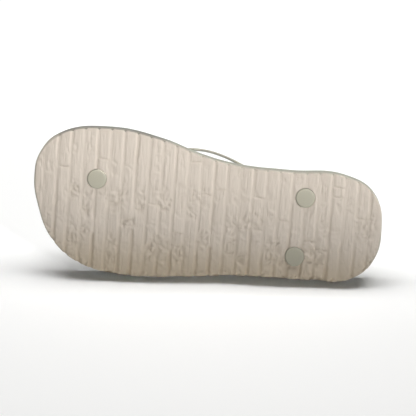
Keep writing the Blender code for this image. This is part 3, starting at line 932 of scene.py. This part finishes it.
def footbedFoam():
    # EVA foam from a textured mould: matt grey-green, taken darker than its own colour as painted shade on
    # its side, its top pebbled like rice grains, its sides smooth and painted paler at the toe tip and from
    # the waist back as painted light.
    # The grains are drawn 2.6 mm long, coarser than real ones, so that they still show in the picture.
    material, tree, shader, shoe = startMaterial("moulded_grey_green_foam")
    # mottled in blotches of 20 mm
    blotch = addNode(tree, "ShaderNodeTexNoise", {
        "Scale": 0.05, "Detail": 5.0, "Roughness": 0.65,
    }, {"Vector": shoe})
    tone = addNode(tree, "ShaderNodeMix", {
        "data_type": "RGBA", "A": fromHex(foamLook["grey"][0]), "B": fromHex(foamLook["grey"][1]),
    }, {"Factor": blotch.outputs["Fac"]})
    # painted light on the side, paler at the toe tip and from the waist back
    fade = addNode(tree, "ShaderNodeAttribute", {"attribute_name": "sideLitShare"})
    paintedLightMix = addNode(tree, "ShaderNodeMix", {
        "data_type": "RGBA", "B": fromHex(foamLook["paintedLightMix"]),
    }, {"Factor": fade.outputs["Fac"], "A": tone.outputs["Result"]})
    # grains 1.6 mm wide and 2.6 mm long, with darker gaps, on the top only
    narrow = addNode(tree, "ShaderNodeMapping", {"Scale": (0.62, 0.38, 0.2)}, {"Vector": shoe})
    grains = addNode(tree, "ShaderNodeTexVoronoi", {
        "Scale": 1.0, "Randomness": 0.8,
    }, {"Vector": narrow.outputs["Vector"]})
    gaps = addNode(tree, "ShaderNodeMapRange", {
        "From Min": 0.2, "From Max": 0.8, "To Max": 0.8,
    }, {"Value": grains.outputs["Distance"]})
    onTop = addNode(tree, "ShaderNodeAttribute", {"attribute_name": "topShare"})
    topGaps = addNode(tree, "ShaderNodeMath", {"operation": "MULTIPLY"}, {
        0: gaps.outputs["Result"], 1: onTop.outputs["Fac"],
    })
    shade = addNode(tree, "ShaderNodeMix", {
        "data_type": "RGBA", "B": fromHex(foamLook["gaps"]),
    }, {"Factor": topGaps.outputs["Value"], "A": paintedLightMix.outputs["Result"]})
    tree.links.new(shade.outputs["Result"], shader.inputs["Base Color"])
    shader.inputs["Roughness"].default_value = foamLook["roughness"]
    # pores of 0.7 mm
    pores = addNode(tree, "ShaderNodeTexNoise", {
        "Scale": 1.4, "Detail": 4.0, "Roughness": 0.7,
    }, {"Vector": shoe})
    grainBump = addNode(tree, "ShaderNodeBump", {
        "Strength": 1.0, "Distance": 0.5 * mm, "invert": True,
    }, {"Height": topGaps.outputs["Value"]})
    poreBump = addNode(tree, "ShaderNodeBump", {
        "Strength": 0.4, "Distance": 0.2 * mm,
    }, {"Height": pores.outputs["Fac"], "Normal": grainBump.outputs["Normal"]})
    tree.links.new(poreBump.outputs["Normal"], shader.inputs["Normal"])
    return material


pvcLook = {
    # the limbs' grey, darkened as painted shade
    "grey": ("#9a9787", "#a29f8f"),
    # the PVC's own paler grey, on the plugs
    "pale": "#b4b09f",
    "roughness": 0.42,
}


def strapPvc():
    # Soft PVC, injection moulded: satin, with a very faint orange peel. Its limbs are painted darker than
    # its plugs, as painted shade.
    material, tree, shader, shoe = startMaterial("satin_grey_green_pvc")
    # mottled very faintly in blotches of 8 mm
    blotch = addNode(tree, "ShaderNodeTexNoise", {
        "Scale": 0.12, "Detail": 3.0, "Roughness": 0.5,
    }, {"Vector": shoe})
    tone = addNode(tree, "ShaderNodeMix", {
        "data_type": "RGBA", "A": fromHex(pvcLook["grey"][0]), "B": fromHex(pvcLook["grey"][1]),
    }, {"Factor": blotch.outputs["Fac"]})
    # the limbs carry painted shade, the plugs their own paler grey
    pale = addNode(tree, "ShaderNodeAttribute", {"attribute_name": "unshadedShare"})
    paintedLightMix = addNode(tree, "ShaderNodeMix", {
        "data_type": "RGBA", "B": fromHex(pvcLook["pale"]),
    }, {"Factor": pale.outputs["Fac"], "A": tone.outputs["Result"]})
    tree.links.new(paintedLightMix.outputs["Result"], shader.inputs["Base Color"])
    shader.inputs["Roughness"].default_value = pvcLook["roughness"]
    # orange peel with dimples of 1.1 mm
    peel = addNode(tree, "ShaderNodeTexNoise", {
        "Scale": 0.9, "Detail": 2.0, "Roughness": 0.5,
    }, {"Vector": shoe})
    peelBump = addNode(tree, "ShaderNodeBump", {
        "Strength": 0.2, "Distance": 0.1 * mm,
    }, {"Height": peel.outputs["Fac"]})
    tree.links.new(peelBump.outputs["Normal"], shader.inputs["Normal"])
    return material


def dress(obj, material):
    obj.data.materials.clear()
    obj.data.materials.append(material)


dress(outsole, outsoleRubber())
dress(foam, footbedFoam())
dress(pvc, strapPvc())
print("materials done")


# Floor, light and camera.
studio = {
    "floorSize": 8.0,   # m
    "floorColour": "#f7f7f6",
    "worldStrength": 0.03,
    # name, place and aim in m, wide and high in m, watts, spread and roll in degrees
    "lamps": [
        ("overhead", (0.0, 0.40, 1.40), (0.0, 0.05, 0.0), 1.8, 0.6, 28.0, 180.0, 0.0),
        ("key", (0.52, -0.745, 0.525), (0.0, -0.005, 0.105), 0.6, 0.14, 0.25, 10.0, -16.5),
    ],
    "cameraTilt": 10.5,   # degrees that the tread is turned away, towards the inner side
    "cameraRoll": 4.25,
    "lens": 200.0,
    "sensor": 36.0,
    "frameWide": 285.0,   # mm across the picture
    "aim": (0.0, 4.0, 3.0),   # mm, in the shoe's frame
}


def makeFloor():
    bpy.ops.object.select_all(action="DESELECT")
    bpy.ops.mesh.primitive_plane_add(size=studio["floorSize"], location=(0.0, 0.0, 0.0))
    floor = bpy.context.object
    floor.name = "studio_floor"
    material = bpy.data.materials.new("matt_white_floor")
    material.use_nodes = True
    shader = material.node_tree.nodes["Principled BSDF"]
    shader.inputs["Base Color"].default_value = fromHex(studio["floorColour"])
    shader.inputs["Roughness"].default_value = 0.9
    dress(floor, material)


def makeLights():
    world = bpy.data.worlds.new("studio")
    bpy.context.scene.world = world
    world.use_nodes = True
    back = world.node_tree.nodes["Background"]
    back.inputs["Color"].default_value = (1.0, 1.0, 1.0, 1.0)
    back.inputs["Strength"].default_value = studio["worldStrength"]
    for name, place, aim, wide, high, watts, spread, roll in studio["lamps"]:
        data = bpy.data.lights.new(name, "AREA")
        data.shape = "RECTANGLE"
        data.size = wide
        data.size_y = high
        data.energy = watts
        data.spread = math.radians(spread)
        lamp = bpy.data.objects.new(name, data)
        bpy.context.scene.collection.objects.link(lamp)
        lamp.location = place
        lamp.rotation_mode = "QUATERNION"
        turn = (Vector(aim) - Vector(place)).to_track_quat("-Z", "Y")
        lamp.rotation_quaternion = turn @ Quaternion((0.0, 0.0, 1.0), math.radians(roll))


def makeCamera():
    # set in the shoe's frame: looking at the tread, turned a little to its inner side, then rolled
    tilt, roll = math.radians(studio["cameraTilt"]), math.radians(studio["cameraRoll"])
    back = Vector((0.0, -math.sin(tilt), -math.cos(tilt)))
    up = Vector((0.0, -math.cos(tilt), math.sin(tilt)))
    along = Vector((1.0, 0.0, 0.0))
    right = along * math.cos(roll) + up * math.sin(roll)
    above = up * math.cos(roll) - along * math.sin(roll)
    data = bpy.data.cameras.new("camera")
    data.lens = studio["lens"]
    data.sensor_width = studio["sensor"]
    data.clip_start = 0.05
    data.clip_end = 20.0
    camera = bpy.data.objects.new("camera", data)
    bpy.context.scene.collection.objects.link(camera)
    away = studio["frameWide"] * mm * studio["lens"] / studio["sensor"]
    turn = lieDown.to_3x3()
    axes = Matrix((turn @ right, turn @ above, turn @ back)).transposed()
    place = lieDown @ (Vector(studio["aim"]) * mm) + turn @ back * away
    camera.matrix_world = Matrix.Translation(place) @ axes.to_4x4()
    bpy.context.scene.camera = camera


makeFloor()
makeLights()
makeCamera()
bpy.context.scene.view_settings.view_transform = "Standard"
print("studio done")
